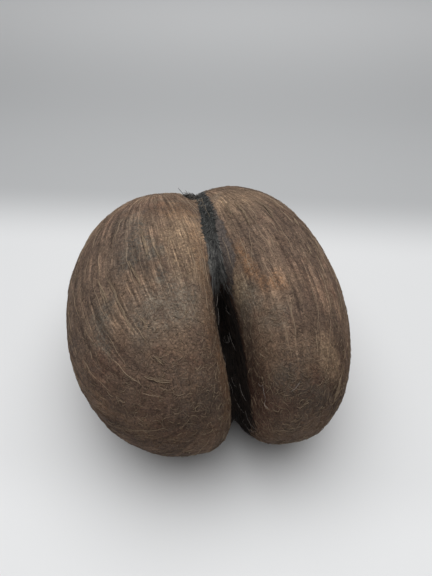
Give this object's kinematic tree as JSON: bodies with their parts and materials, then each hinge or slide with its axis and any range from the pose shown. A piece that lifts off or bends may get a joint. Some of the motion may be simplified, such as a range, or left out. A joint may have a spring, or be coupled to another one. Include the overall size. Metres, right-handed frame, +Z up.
{
  "type": "coco de mer",
  "caption": "Double nut with two rounded lobes joined at one end and parted by a deep cleft towards their tips, in dry brown fibrous husk, lying on its belly.",
  "frame": {"origin": "on the ground under the middle of the nut's bounding box, as the nut lies on its belly", "axes": "+Y from the lobe tips to the end where the lobes are joined, +X to the right seen from the tips, +Z up through the cleft"},
  "size_m": [0.2702, 0.31, 0.182],
  "materials": {
    "husk": "dry matt fibrous husk"
  },
  "bodies": {
    "root": {"nut": "husk"}
  },
  "joints": []
}
